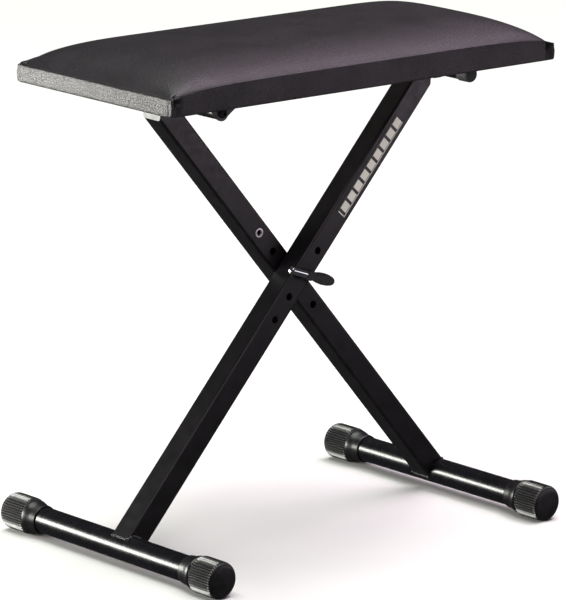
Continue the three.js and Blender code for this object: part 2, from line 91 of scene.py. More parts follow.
class Mixture:
    """A node material while it is being put together."""

    def __init__(self, name: str, **shader: object) -> None:
        """Start a material.

        Args:
            name: The material's name.
            **shader: Values for the shader's own sockets, with _ for each space.
        """
        self.material = bpy.data.materials.new(name)
        self.material.use_nodes = True
        self.nodes = self.material.node_tree.nodes
        self.links = self.material.node_tree.links
        self.shader = self.nodes["Principled BSDF"]
        for socket, value in shader.items():
            self.shader.inputs[socket.replace("_", " ")].default_value = value
        self.place = self.nodes.new("ShaderNodeTexCoord").outputs["Object"]

    def node(self, kind: str, inputs: dict[str, object], **settings: object) -> bpy.types.Node:
        """Add a node.

        Args:
            kind: The node's type, without its ShaderNode prefix.
            inputs: Values or output sockets for its inputs, by name.
            **settings: Its properties.

        Returns:
            The new node.
        """
        made = self.nodes.new("ShaderNode" + kind)
        for key, value in settings.items():
            setattr(made, key, value)
        for key, value in inputs.items():
            if isinstance(value, bpy.types.NodeSocket):
                self.links.new(value, made.inputs[key])
            else:
                made.inputs[key].default_value = value
        return made

    def noise(self, scale: float, detail: float = 4.0, roughness: float = 0.55,
              place: bpy.types.NodeSocket | None = None) -> bpy.types.NodeSocket:
        """Fractal noise from 0 to 1, with scale in features per metre."""
        wanted = {"Vector": place or self.place, "Scale": scale, "Detail": detail,
                  "Roughness": roughness}
        return self.node("TexNoise", wanted).outputs["Fac"]

    def cells(self, scale: float) -> bpy.types.NodeSocket:
        """Distance from the borders in a field of cells, with scale in cells per metre."""
        wanted = {"Vector": self.place, "Scale": scale}
        return self.node("TexVoronoi", wanted, feature="DISTANCE_TO_EDGE").outputs["Distance"]

    def ramp(self, fac: bpy.types.NodeSocket,
             stops: Sequence[tuple[float, Colour]]) -> bpy.types.NodeSocket:
        """A colour for each value of fac, blended between stops."""
        made = self.node("ValToRGB", {"Fac": fac})
        elements = made.color_ramp.elements
        while len(elements) < len(stops):
            elements.new(0.5)
        for element, (position, colour) in zip(elements, stops):
            element.position = position
            element.color = (*colour, 1.0)
        return made.outputs["Color"]

    def spread(self, fac: bpy.types.NodeSocket, low: float, high: float,
               start: float = 0.3, end: float = 0.7) -> bpy.types.NodeSocket:
        """Stretch fac from start..end to low..high."""
        wanted = {"Value": fac, "From Min": start, "From Max": end, "To Min": low, "To Max": high}
        return self.node("MapRange", wanted).outputs["Result"]

    def math(self, operation: str, a: object, b: object) -> bpy.types.NodeSocket:
        """One sum on two values."""
        made = self.nodes.new("ShaderNodeMath")
        made.operation = operation
        for socket, value in zip(made.inputs, (a, b)):
            if isinstance(value, bpy.types.NodeSocket):
                self.links.new(value, socket)
            else:
                socket.default_value = value
        return made.outputs["Value"]

    def colour(self, socket: bpy.types.NodeSocket) -> None:
        """Link the base colour."""
        self.links.new(socket, self.shader.inputs["Base Color"])

    def roughness(self, socket: bpy.types.NodeSocket) -> None:
        """Link the roughness."""
        self.links.new(socket, self.shader.inputs["Roughness"])

    def bump(self, *heights: tuple[bpy.types.NodeSocket, float]) -> None:
        """Stack height patterns, each with its depth in millimetres, on the surface."""
        normal: bpy.types.NodeSocket | None = None
        for height, depth in heights:
            wanted: dict[str, object] = {"Height": height, "Distance": depth * MM, "Strength": 1.0}
            if normal is not None:
                wanted["Normal"] = normal
            normal = self.node("Bump", wanted).outputs["Normal"]
        self.links.new(normal, self.shader.inputs["Normal"])


class Finish:
    """A finish that pieces share; its material is mixed the first time it is asked for."""

    name: str

    def mix(self) -> Mixture:
        """Put the material together."""
        raise NotImplementedError

    def material(self) -> bpy.types.Material:
        """Return the finish's material."""
        return bpy.data.materials.get(self.name) or self.mix().material


@dataclass(frozen=True)
class Paint(Finish):
    """Powder coat or enamel, with orange peel and faint rubbed marks."""

    name: str
    tint: Colour
    rubbed: Colour
    roughness: float
    peel: float
    peel_scale: float = 900.0
    coat: float = 0.0
    shine: float = 0.5

    def mix(self) -> Mixture:
        """Put the material together."""
        mixture = Mixture(self.name, Specular_IOR_Level=self.shine,
                          Coat_Weight=self.coat, Coat_Roughness=0.08)
        wear = mixture.noise(38.0, detail=8.0, roughness=0.7)
        mixture.colour(mixture.ramp(wear, [(0.35, self.tint), (0.68, self.rubbed)]))
        smears = mixture.noise(90.0, detail=5.0)
        mixture.roughness(mixture.spread(smears, self.roughness * 0.86, self.roughness * 1.2))
        mixture.bump((mixture.noise(self.peel_scale, detail=2.0), self.peel),
                     (mixture.noise(60.0, detail=1.0), self.peel * 2.0))
        return mixture


@dataclass(frozen=True)
class Vinyl(Finish):
    """Grained upholstery vinyl with a soft sheen."""

    name: str
    valley: Colour
    ridge: Colour
    roughness: float
    grain: float = 440.0

    def mix(self) -> Mixture:
        """Put the material together."""
        mixture = Mixture(self.name, Specular_IOR_Level=0.5, Sheen_Weight=0.01, Sheen_Roughness=0.4)
        pebbles = mixture.noise(self.grain, detail=3.0, roughness=0.6)
        creases = mixture.cells(self.grain * 0.8)
        tone = mixture.noise(26.0, detail=6.0)
        mixture.colour(mixture.ramp(tone, [(0.3, self.valley), (0.7, self.ridge)]))
        handled = mixture.noise(14.0, detail=4.0)
        mixture.roughness(mixture.spread(handled, self.roughness * 0.9, self.roughness * 1.14))
        mixture.bump((mixture.noise(120.0, detail=2.0), 0.14),
                     (mixture.spread(creases, 0.0, 1.0, 0.0, 0.12), 0.12),
                     (pebbles, 0.62))
        return mixture


@dataclass(frozen=True)
class Moulded(Finish):
    """Moulded rubber or plastic with a fine matt texture and dust in it."""

    name: str
    tint: Colour
    dusty: Colour
    roughness: float
    texture: float

    def mix(self) -> Mixture:
        """Put the material together."""
        mixture = Mixture(self.name, Specular_IOR_Level=0.5)
        dust = mixture.noise(140.0, detail=7.0, roughness=0.65)
        mixture.colour(mixture.ramp(dust, [(0.38, self.tint), (0.75, self.dusty)]))
        mixture.roughness(mixture.spread(dust, self.roughness * 0.85, self.roughness * 1.25))
        mixture.bump((mixture.noise(1500.0, detail=3.0), self.texture))
        return mixture


@dataclass(frozen=True)
class Metal(Finish):
    """Bare or plated metal with hairline polishing marks along one direction."""

    name: str
    tint: Colour
    dull: Colour
    roughness: float
    grain: tuple[float, float, float] = (1.0, 0.05, 1.0)
    depth: float = 0.01

    def mix(self) -> Mixture:
        """Put the material together."""
        mixture = Mixture(self.name, Metallic=1.0)
        stretched = mixture.node("Mapping", {"Vector": mixture.place, "Scale": self.grain})
        hairs = mixture.noise(2600.0, detail=4.0, place=stretched.outputs["Vector"])
        stains = mixture.noise(160.0, detail=5.0)
        mixture.colour(mixture.ramp(stains, [(0.35, self.tint), (0.8, self.dull)]))
        mixture.roughness(mixture.spread(hairs, self.roughness * 0.7, self.roughness * 1.5))
        mixture.bump((hairs, self.depth))
        return mixture


@dataclass(frozen=True)
class Plywood(Finish):
    """Raw plywood: long grain across the face and plies round the edge."""

    name: str
    pale: Colour
    dark: Colour

    def mix(self) -> Mixture:
        """Put the material together."""
        mixture = Mixture(self.name)
        stretched = mixture.node("Mapping", {"Vector": mixture.place, "Scale": (0.06, 1.0, 1.0)})
        grain = mixture.noise(210.0, detail=8.0, roughness=0.62, place=stretched.outputs["Vector"])
        plies = mixture.node("TexWave", {"Vector": mixture.place, "Scale": 62.0, "Distortion": 0.4},
                             bands_direction="Z").outputs["Fac"]
        both = mixture.math("ADD", mixture.math("MULTIPLY", grain, 0.8),
                            mixture.math("MULTIPLY", plies, 0.2))
        mixture.colour(mixture.ramp(both, [(0.3, self.dark), (0.62, self.pale)]))
        mixture.roughness(mixture.spread(grain, 0.62, 0.8))
        mixture.bump((grain, 0.12))
        return mixture


@dataclass(frozen=True)
class BarredLabel(Finish):
    """A plain dark label with a row of pale blocks and a pale rule along its leg."""

    name: str
    lean: float
    pin_height: float
    ground: Colour
    ink: Colour
    pitch: float = 14.5
    share: float = 0.74
    block_half: float = 5.2
    rule_at: float = -6.4
    rule_half: float = 0.45

    def mix(self) -> Mixture:
        """Put the material together."""
        mixture = Mixture(self.name)
        crossing = (-self.pin_height * math.sin(self.lean), 0.0,
                    -self.pin_height * math.cos(self.lean))
        wanted = {"Vector": mixture.place, "Rotation": (0.0, self.lean, 0.0), "Location": crossing}
        squared = mixture.node("Mapping", wanted, vector_type="POINT")
        split = mixture.node("SeparateXYZ", {"Vector": squared.outputs["Vector"]})
        along, across = split.outputs["X"], split.outputs["Z"]
        step = mixture.math("FRACT", mixture.math("DIVIDE", along, self.pitch * MM), 0.0)
        off_row = mixture.math("ABSOLUTE", across, 0.0)
        in_row = mixture.math("LESS_THAN", off_row, self.block_half * MM)
        blocks = mixture.math("MULTIPLY", mixture.math("LESS_THAN", step, self.share), in_row)
        from_rule = mixture.math("SUBTRACT", across, self.rule_at * MM)
        off_rule = mixture.math("ABSOLUTE", from_rule, 0.0)
        on_rule = mixture.math("LESS_THAN", off_rule, self.rule_half * MM)
        printed = mixture.math("MAXIMUM", blocks, on_rule)
        inked = mixture.noise(900.0, detail=3.0)
        worn = mixture.math("MULTIPLY", printed, mixture.spread(inked, 0.82, 1.0))
        mixture.colour(mixture.ramp(worn, [(0.2, self.ground), (0.9, self.ink)]))
        mixture.roughness(mixture.spread(inked, 0.3, 0.42))
        mixture.bump((inked, 0.02))
        return mixture


SATIN = Paint("satin_black_paint", (0.004, 0.0035, 0.0042), (0.009, 0.0076, 0.0095), 0.32, 0.018,
              shine=0.4)
GLOSS = Paint("gloss_black_paint", (0.0025, 0.0022, 0.0034), (0.006, 0.005, 0.008), 0.25, 0.04,
              coat=0.12)
# The weld sits under the same black paint as the bar, but this tint is several times lighter than
# GLOSS: a painted highlight that stands in for the bead's glints. Its coat and low roughness give
# real gloss.
BEAD = Paint("weld_bead_with_painted_glint", (0.018, 0.017, 0.019), (0.06, 0.058, 0.062), 0.16, 0.05,
             coat=0.6)
VINYL = Vinyl("black_vinyl", (0.013, 0.011, 0.014), (0.020, 0.017, 0.021), 0.38)
RUBBER = Moulded("black_rubber", (0.005, 0.004, 0.005), (0.014, 0.013, 0.015), 0.32, 0.02)
PLASTIC = Moulded("black_plastic", (0.009, 0.008, 0.009), (0.022, 0.020, 0.022), 0.34, 0.02)
CHROME = Metal("bright_chrome", (0.82, 0.83, 0.85), (0.66, 0.67, 0.70), 0.09)
STEEL = Metal("zinc_steel", (0.62, 0.62, 0.60), (0.42, 0.41, 0.39), 0.28, depth=0.02)
PLYWOOD = Plywood("stained_plywood", (0.085, 0.055, 0.034), (0.035, 0.022, 0.014))
STAPLE = Metal("staple_wire", (0.70, 0.70, 0.69), (0.50, 0.49, 0.47), 0.24)


# ------------------------------------------------------------------ shaping


def tube(radius: float, wall: float, half: float) -> Profile:
    """Outline of a plain tube, for turned.

    Args:
        radius: Outer radius.
        wall: Wall thickness.
        half: Half its length.

    Returns:
        Points as (radius, y).
    """
    inner = radius - wall
    return [(inner, -half), (radius, -half), (radius, half), (inner, half), (inner, -half)]


def turned(profile: Profile, x: float, z: float, steps: int = 64) -> Form:
    """Spin a profile about an axis that runs along Y.

    Args:
        profile: Points as (radius, y).
        x: The axis's place.
        z: The axis's place.
        steps: Facets in a full turn.

    Returns:
        The closed form.
    """
    form = bmesh.new()
    corners = [form.verts.new((x + radius, y, z)) for radius, y in profile]
    edges = [form.edges.new(pair) for pair in zip(corners, corners[1:])]
    bmesh.ops.spin(form, geom=corners + edges, cent=(x, 0, z), axis=(0, 1, 0), angle=2 * math.pi,
                   steps=steps, use_merge=True, use_duplicate=False)
    bmesh.ops.remove_doubles(form, verts=form.verts, dist=1e-4)
    bmesh.ops.recalc_face_normals(form, faces=form.faces)
    return form


def soften(form: Form, width: float, over: float = 35.0) -> None:
    """Bevel a form's hard edges.

    Args:
        form: The form.
        width: The bevel's width.
        over: The angle in degrees from which an edge counts as hard.
    """
    hard = [edge for edge in form.edges
            if len(edge.link_faces) == 2 and edge.calc_face_angle(0.0) > math.radians(over)]
    bmesh.ops.bevel(form, geom=hard, offset=width, offset_type="OFFSET", segments=1, profile=0.5,
                    affect="EDGES", clamp_overlap=True, material=-1)


def extruded(form: Form, edges: list[bmesh.types.BMEdge]
             ) -> tuple[list[bmesh.types.BMVert], list[bmesh.types.BMEdge]]:
    """Grow a new row of faces from a loop of edges.

    Args:
        form: The form.
        edges: The loop.

    Returns:
        The new loop's points and edges.
    """
    grown = bmesh.ops.extrude_edge_only(form, edges=edges)["geom"]
    return ([g for g in grown if isinstance(g, bmesh.types.BMVert)],
            [g for g in grown if isinstance(g, bmesh.types.BMEdge)])


def copied(node: str) -> Form:
    """Copy a CAD node's shape, with the triangles that lie in one plane merged.

    Args:
        node: The node's name.

    Returns:
        The form, in millimetres.
    """
    form = bmesh.new()
    form.from_mesh(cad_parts[node].data)
    bmesh.ops.scale(form, vec=(1 / MM,) * 3, verts=form.verts)
    bmesh.ops.remove_doubles(form, verts=form.verts, dist=1e-3)
    bmesh.ops.dissolve_limit(form, angle_limit=math.radians(0.6),
                             verts=form.verts, edges=form.edges)
    return form


def finished(form: Form, name: str, finish: Finish, body: Body,
             replaces: Iterable[str] = (), hard_over: float = 38.0,
             flat_over: float = math.inf) -> bpy.types.Object:
    """Make a form a piece that rides on a body.

    Args:
        form: The shape, in millimetres; it is used up.
        name: The piece's name.
        finish: Its finish.
        body: The body that it rides on.
        replaces: The CAD nodes that it stands for.
        hard_over: The angle in degrees from which an edge is drawn sharp.
        flat_over: The area in square millimetres from which a face is drawn flat.

    Returns:
        The piece.
    """
    for face in form.faces:
        face.smooth = face.calc_area() < flat_over
    for edge in form.edges:
        edge.smooth = (len(edge.link_faces) == 2
                       and edge.calc_face_angle(0.0) < math.radians(hard_over))
    bmesh.ops.scale(form, vec=(MM,) * 3, verts=form.verts)
    mesh = bpy.data.meshes.new(name)
    form.to_mesh(mesh)
    form.free()
    mesh.materials.append(finish.material())
    piece = bpy.data.objects.new(name, mesh)
    bpy.context.scene.collection.objects.link(piece)
    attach(piece, body.value)
    nodes = list(replaces)
    if nodes:
        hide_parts(*nodes)
    LOG.info("%s: %d faces on %s", name, len(mesh.polygons), body.value)
    return piece


def dress(node: str, finish: Finish) -> None:
    """Give a CAD node its finish.

    Args:
        node: The node's name.
        finish: The finish.
    """
    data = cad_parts[node].data
    if data.materials:
        for index in range(len(data.materials)):
            data.materials[index] = finish.material()
    else:
        data.materials.append(finish.material())
    LOG.info("%s: dressed in %s", node, finish.name)


def middle(node: str) -> Vector:
    """The middle of a CAD node's box, in millimetres."""
    low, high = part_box(node)
    return (low + high) / 2 / MM


def smoothstep(value: float, start: float, end: float) -> float:
    """Rise smoothly from 0 at start to 1 at end."""
    t = min(1.0, max(0.0, (value - start) / (end - start)))
    return t * t * (3.0 - 2.0 * t)


def hump(offset: float, width: float) -> float:
    """A smooth hump that is 1 at no offset and fades out over a width."""
    return math.exp(-(offset / width) ** 2)


# ------------------------------------------------------------------ feet


@dataclass
class Foot:
    """A round bar across the floor with a ribbed rubber cap pushed on each end."""

    prefix: str
    body: Body
    lean: float  # +1 where the leg's top goes to +X
    leg_side: float  # which side of the middle plane the leg is on
    radius: float = 15.0
    wall: float = 1.6
    ribs: int = 40
    rib_depth: float = 2.3
    rib_edge: float = 0.8  # under 1 narrows the ribs' crests
    cap_radius: float = 21.0
    socket_gap: float = 0.3
    facets_per_rib: int = 6
    weld: float = 1.9
    end_ripples: int = 9  # across the leg's outer face
    side_ripples: int = 7  # along each of its other two faces
    end: float = field(init=False)
    x: float = field(init=False)
    z: float = field(init=False)

    def __post_init__(self) -> None:
        """Read the bar's place from the frame."""
        axis = middle(f"{self.prefix}_foot_bar")
        self.x, self.z = axis.x, axis.z
        self.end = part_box(f"{self.prefix}_foot_cap_far")[1].y / MM

    def build(self) -> None:
        """Make the bar, its caps and its weld."""
        self.bar()
        self.cap("near", -1.0)
        self.cap("far", 1.0)
        self.welds()

    def bar(self) -> None:
        """Make the bar."""
        node = f"{self.prefix}_foot_bar"
        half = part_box(node)[1].y / MM
        form = turned(tube(self.radius, self.wall, half), self.x, self.z, steps=96)
        finished(form, f"{self.prefix}_round_bar", GLOSS, self.body, [node])

    def stations(self) -> list[tuple[float, float, float]]:
        """Stations along a cap as (radius, distance from the middle, share of the rib depth)."""
        end, big = self.end, self.cap_radius
        socket = self.radius + self.socket_gap
        bore_and_lip = [
            (socket, end - 8, 0), (socket, end - 57.4, 0), (socket + 0.25, end - 57.9, 0),
            (socket + 0.7, end - 58, 0), (socket + 1.1, end - 57.6, 0),
            (socket + 1.3, end - 56.8, 0),
        ]
        collar = [
            (big - 3.9, end - 50, 0), (big - 2.9, end - 46.5, 0), (big - 2.2, end - 44.5, 0),
            (big - 1.5, end - 42, 0), (big - 1.25, end - 40, 0), (big - 1.35, end - 38.6, 0),
            (big - 2.2, end - 37.9, 0), (big - 2.3, end - 37.2, 0),
        ]
        ribbed_band = [
            (big - 1.4, end - 36.8, 0.25), (big - 0.35, end - 36.2, 0.85), (big, end - 35.2, 1),
            (big, end - 20, 1), (big, end - 6.2, 1), (big - 0.25, end - 4.6, 0.85),
            (big - 0.9, end - 3.2, 0.4), (big - 1.9, end - 2.1, 0.1),
        ]
        face = [
            (big - 3.3, end - 1.35, 0), (big - 5.2, end - 0.9, 0), (big - 9, end - 0.45, 0),
            (big - 14, end - 0.12, 0),
        ]
        return bore_and_lip + collar + ribbed_band + face

    def cap(self, which: str, side: float) -> None:
        """Make one ribbed cap.

        Args:
            which: near or far, as in the CAD node's name.
            side: -1 for the near end, 1 for the far end.
        """
        form = bmesh.new()
        stations = self.stations()
        count = self.ribs * self.facets_per_rib
        across = Matrix.Rotation(math.pi / 2, 4, "X")
        made = bmesh.ops.create_circle(form, radius=1.0, segments=count, matrix=across)
        edges = list(form.edges)
        self.place_ring(made["verts"], stations[0], side)
        bmesh.ops.contextual_create(form, geom=edges)
        for station in stations[1:]:
            ring, edges = extruded(form, edges)
            self.place_ring(ring, station, side)
        bmesh.ops.contextual_create(form, geom=edges)
        bmesh.ops.translate(form, vec=(self.x, 0, self.z), verts=form.verts)
        bmesh.ops.recalc_face_normals(form, faces=form.faces)
        finished(form, f"{self.prefix}_rubber_cap_{which}", RUBBER, self.body,
                 [f"{self.prefix}_foot_cap_{which}"], hard_over=80)

    def place_ring(self, ring: Iterable[bmesh.types.BMVert],
                   station: tuple[float, float, float], side: float) -> None:
        """Set a ring of points at one station, with its share of the ribs."""
        radius, along, share = station
        for vert in ring:
            angle = math.atan2(vert.co.z, vert.co.x)
            groove = (0.5 - 0.5 * math.cos(self.ribs * angle)) ** self.rib_edge
            reach = radius - self.rib_depth * share * groove
            vert.co = (reach * math.cos(angle), side * along, reach * math.sin(angle))

    def welds(self) -> None:
        """Lay the weld beads where the leg stands on the bar."""
        form = bmesh.new()
        inner = self.leg_side * LEG_LAP
        outer = self.leg_side * (LEG_LAP + LEG_TUBE)
        up_leg = math.pi / 2 - self.lean * (math.pi / 2 - LEG_ANGLE)
        half_turn = math.asin(LEG_TUBE / 2 / self.radius) * 0.93
        half_count = (self.end_ripples - 1) // 2
        for step in range(self.end_ripples):
            self.ripple(form, up_leg + half_turn * (step / half_count - 1), outer, step)
        low, high = sorted((inner, outer))
        for edge in (-1.0, 1.0):
            for step in range(1, self.side_ripples + 1):
                y = low + (high - low) * step / (self.side_ripples + 1)
                self.ripple(form, up_leg + edge * half_turn * 1.05, y, step)
        finished(form, f"{self.prefix}_foot_weld", BEAD, self.body)

    def ripple(self, form: Form, angle: float, y: float, step: int) -> None:
        """Add one ripple of a weld bead.

        Args:
            form: The form that the bead is built in.
            angle: Its place round the bar, from +X towards +Z.
            y: Its place along the bar.
            step: Its number in the row, which varies its size.
        """
        reach = self.radius + 0.5
        spot = (self.x + reach * math.cos(angle), y, self.z + reach * math.sin(angle))
        size = self.weld * (1.0 + 0.12 * math.sin(2.3 * step))
        squashed = Matrix.Diagonal((size * 0.8, size, size, 1.0))
        where = Matrix.Translation(spot) @ Matrix.Rotation(-angle, 4, "Y") @ squashed
        bmesh.ops.create_icosphere(form, subdivisions=2, radius=1.0, matrix=where)


# ------------------------------------------------------------------ legs and top bars


@dataclass
class Leg:
    """A square tube with lock holes, welded to a round bar at its top."""

    prefix: str
    body: Body
    corner_strip: float = 2200.0  # faces under this area are the rounded corners
    wall: float = 1.5

    def build(self) -> None:
        """Make the leg and its top bar."""
        node = f"{self.prefix}_leg"
        finished(copied(node), f"{self.prefix}_square_leg", SATIN, self.body, [node],
                 flat_over=self.corner_strip)
        bar = f"{self.prefix}_top_bar"
        low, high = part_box(bar)
        axis, half = middle(bar), high.y / MM
        radius = (high.z - low.z) / 2 / MM
        form = turned(tube(radius, self.wall, half), axis.x, axis.z)
        finished(form, f"{self.prefix}_round_top_bar", GLOSS, self.body, [bar])


@dataclass
class TopCaps:
    """The domed plastic caps on the ends of the top bar that rests in the hooks."""

    bar_radius: float = 8.3
    wall: float = 0.8
    length: float = 19.5
    solid_end: float = 10.2

    def build(self) -> None:
        """Make both caps."""
        for which, side in (("near", -1.0), ("far", 1.0)):
            node = f"front_top_cap_{which}"
            axis = middle(node)
            low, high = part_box(node)
            end = max(abs(low.y), abs(high.y)) / MM
            outer = self.bar_radius + self.wall
            mouth = end - self.length
            floor = end - self.solid_end
            profile = [(0.0, floor), (self.bar_radius, floor), (self.bar_radius, mouth),
                       (outer - 0.2, mouth), (outer, mouth + 0.5), (outer, end - 5.4),
                       (outer * 0.97, end - 4), (outer * 0.9, end - 2.9), (outer * 0.76, end - 1.6),
                       (outer * 0.55, end - 0.7), (outer * 0.3, end - 0.2), (0.0, end)]
            form = turned([(r, side * y) for r, y in profile], axis.x, axis.z, steps=48)
            finished(form, f"top_bar_cap_{which}", PLASTIC, Body.FRONT, [node])


# ------------------------------------------------------------------ hinge, hooks and screws


class SmallSteel:
    """The turned steel and plastic parts that are redrawn with finer facets."""

    def build(self) -> None:
        """Make the plugs, washers, bolts and the eyelet."""
        for which, side in (("near", -1.0), ("far", 1.0)):
            self.bolt(which, side)
            self.round_copy(f"hinge_washer_{which}", f"hinge_spacer_{which}", PLASTIC)
            self.round_copy(f"hinge_plug_{which}", f"hinge_end_plug_{which}", STEEL)
        self.eyelet()

    def eyelet(self) -> None:
        """Make the bright eyelet in the rear leg's highest hole, with its thin rolled flange."""
        axis = middle("rear_leg_eyelet")
        low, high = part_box("rear_leg_eyelet")
        face, back = low.y / MM, high.y / MM
        outer = (high.z - low.z) / 2 / MM
        bore = outer - 1.2
        profile = [(bore, back), (bore, face + 0.3), (bore + 0.3, face - 0.1),
                   (bore + 0.8, face - 0.22), (outer + 1.2, face - 0.2), (outer + 1.6, face - 0.1),
                   (outer + 1.6, face), (outer, face), (outer, back), (bore, back)]
        form = turned(profile, axis.x, axis.z, steps=40)
        finished(form, "hole_eyelet", STEEL, Body.REAR, ["rear_leg_eyelet"],
                 hard_over=50)

    def round_copy(self, node: str, name: str, finish: Finish) -> None:
        """Copy a turned CAD part and shade it round."""
        finished(copied(node), name, finish, Body.REAR, [node], hard_over=40)

    def bolt(self, which: str, side: float) -> None:
        """Make one hinge bolt with a domed head and a socket in it.

        Args:
            which: near or far, as in the CAD node's name.
            side: -1 for the near end, 1 for the far end.
        """
        node = f"hinge_bolt_{which}"
        axis = middle(node)
        low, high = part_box(node)
        tip = max(abs(low.y), abs(high.y)) / MM
        head = tip - 3.6
        profile = [(0.0, tip - 25.1), (2.6, tip - 25.1), (3.0, tip - 24.6), (3.0, head),
                   (5.6, head), (5.6, head + 0.7), (5.3, head + 1.7), (4.5, head + 2.6),
                   (3.4, head + 3.3), (2.3, head + 3.6), (2.2, head + 3.4), (2.1, head + 1.5),
                   (0.0, head + 1.5)]
        form = turned([(r, side * y) for r, y in profile], axis.x, axis.z, steps=32)
        finished(form, f"hinge_dome_bolt_{which}", SATIN, Body.REAR, [node])


@dataclass
class Brackets:
    """The pressed steel hinge ears and hooks under the board, and their screws."""

    small_face: float = 60.0  # faces under this area belong to rounded edges
    head_height: float = 2.2
    drawn_length: float = 11.0  # the shank's length in the outline, before it is fitted

    def build(self) -> None:
        """Make the brackets and the screws."""
        for kind in ("hinge", "hook"):
            for which in ("near", "far"):
                node = f"{kind}_bracket_{which}"
                finished(copied(node), f"{kind}_plate_{which}", SATIN, Body.SEAT,
                         [node], flat_over=self.small_face)
            for number in range(1, 5):
                self.screw(kind, number)

    def screw(self, kind: str, number: int) -> None:
        """Make one pan-head screw, as long as the CAD one.

        Args:
            kind: hinge or hook, as in the CAD node's name.
            number: The screw's number, from 1.
        """
        node = f"{kind}_screw_{number}"
        axis = middle(node)
        low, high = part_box(node)
        under, tip = low.z / MM, high.z / MM
        profile = [(0.0, self.head_height), (1.2, 2.15), (2.4, 1.9), (3.2, 1.45), (3.8, 0.8),
                   (4.0, 0.25), (4.0, 0.0), (2.0, 0.0), (2.0, -9.0), (0.0, -self.drawn_length)]
        form = turned(profile, 0.0, 0.0, steps=24)
        bmesh.ops.rotate(form, verts=form.verts, matrix=Matrix.Rotation(-math.pi / 2, 3, "X"))
        seat_of_head = under + self.head_height
        stretch = tip - seat_of_head - self.drawn_length
        for vert in form.verts:
            if vert.co.z > 8.0:
                vert.co.z += stretch
        bmesh.ops.translate(form, vec=(axis.x, axis.y, seat_of_head), verts=form.verts)
        finished(form, f"{kind}_pan_screw_{number}", STEEL, Body.SEAT, [node])


# ------------------------------------------------------------------ lock pin


@dataclass
class LockPin:
    """The pin through both legs, with a chrome bar and a moulded paddle to pull it by."""

    tilt: float = math.radians(19.6)
    bar_radius: float = 4.8
    bar_length: float = 30.6
    hub_radius: float = 6.0
    hub_back: float = -29.3
    paddle: tuple[tuple[float, float, float], ...] = (  # along the handle, half height, half depth
        (-3.0, 2.4, 2.4), (-2.4, 3.2, 3.1), (0.0, 3.9, 3.7), (6.0, 4.7, 4.2), (14.0, 6.4, 4.8),
        (22.0, 7.0, 4.8), (30.0, 6.5, 4.3), (36.0, 5.1, 3.6), (38.6, 3.8, 2.8), (40.0, 2.2, 1.7),
        (40.7, 0.7, 0.6),
    )
    axis: Vector = field(init=False)  # where the handle crosses the pin's front end

    def build(self) -> None:
        """Make the pin, the bar and the paddle."""
        pin = middle("lock_pin")
        low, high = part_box("lock_pin")
        radius = (high.z - low.z) / 2 / MM
        front, tip = low.y / MM, high.y / MM
        profile = [(0.0, front), (radius, front), (radius, tip - 9), (radius - 0.7, tip - 8.4),
                   (radius - 0.7, tip - 7), (radius, tip - 6.4), (radius, tip - 3),
                   (radius * 0.85, tip - 1.4), (radius * 0.55, tip - 0.3), (0.0, tip)]
        form = turned(profile, pin.x, pin.z, steps=40)
        finished(form, "locking_pin", STEEL, Body.PIN, ["lock_pin"])
        self.axis = Vector((0.0, front - 0.3, pin.z))
        self.bar()
        self.grip()

    def along_handle(self, form: Form) -> None:
        """Turn a form made along +X onto the handle's axis."""
        bmesh.ops.rotate(form, verts=form.verts, matrix=Matrix.Rotation(self.tilt, 3, "Y"))
        bmesh.ops.translate(form, vec=self.axis, verts=form.verts)

    def bar(self) -> None:
        """Make the chrome bar, which starts at the hub and has a rounded end."""
        r, end = self.bar_radius, self.bar_length
        start = self.hub_radius - 0.8
        profile = [(0.0, start), (r, start), (r, end - 3.6), (r * 0.97, end - 2.5),
                   (r * 0.88, end - 1.4), (r * 0.72, end - 0.6), (r * 0.45, end - 0.12), (0.0, end)]
        form = turned(profile, 0.0, 0.0, steps=48)
        bmesh.ops.rotate(form, verts=form.verts, matrix=Matrix.Rotation(math.pi / 2, 3, "Z"))
        self.along_handle(form)
        finished(form, "chrome_cross_bar", CHROME, Body.PIN, ["lock_pin_bar"])

    def grip(self) -> None:
        """Make the moulded paddle and its hub."""
        form = bmesh.new()
        upright = Matrix.Rotation(math.pi / 2, 4, "Y")
        bmesh.ops.create_circle(form, cap_ends=True, radius=1.0, segments=40, matrix=upright)
        edges = list(form.edges)
        sections = [(form.verts[:], self.paddle[0])]
        for section in self.paddle[1:]:
            ring, edges = extruded(form, edges)
            sections.append((ring, section))
        for verts, (along, high, deep) in sections:
            for vert in verts:
                around = math.atan2(vert.co.z, vert.co.y)
                vert.co = (along, deep * math.cos(around), high * math.sin(around))
        bmesh.ops.contextual_create(form, geom=edges)
        self.along_handle(form)
        y, outer = self.axis.y, self.hub_radius
        profile = [(0.0, y - 6.3), (4.2, y - 6.1), (5.6, y - 5.2), (outer, y - 4.0),
                   (outer, self.hub_back), (4.6, self.hub_back), (4.6, y + 1.0), (0.0, y + 1.0)]
        hub = turned(profile, self.axis.x, self.axis.z, steps=40)
        joined = bpy.data.meshes.new("hub")
        hub.to_mesh(joined)
        hub.free()
        form.from_mesh(joined)
        bpy.data.meshes.remove(joined)
        bmesh.ops.recalc_face_normals(form, faces=form.faces)
        finished(form, "pin_paddle", PLASTIC, Body.PIN, ["lock_pin_grip"],
                 hard_over=50)


# ------------------------------------------------------------------ seat


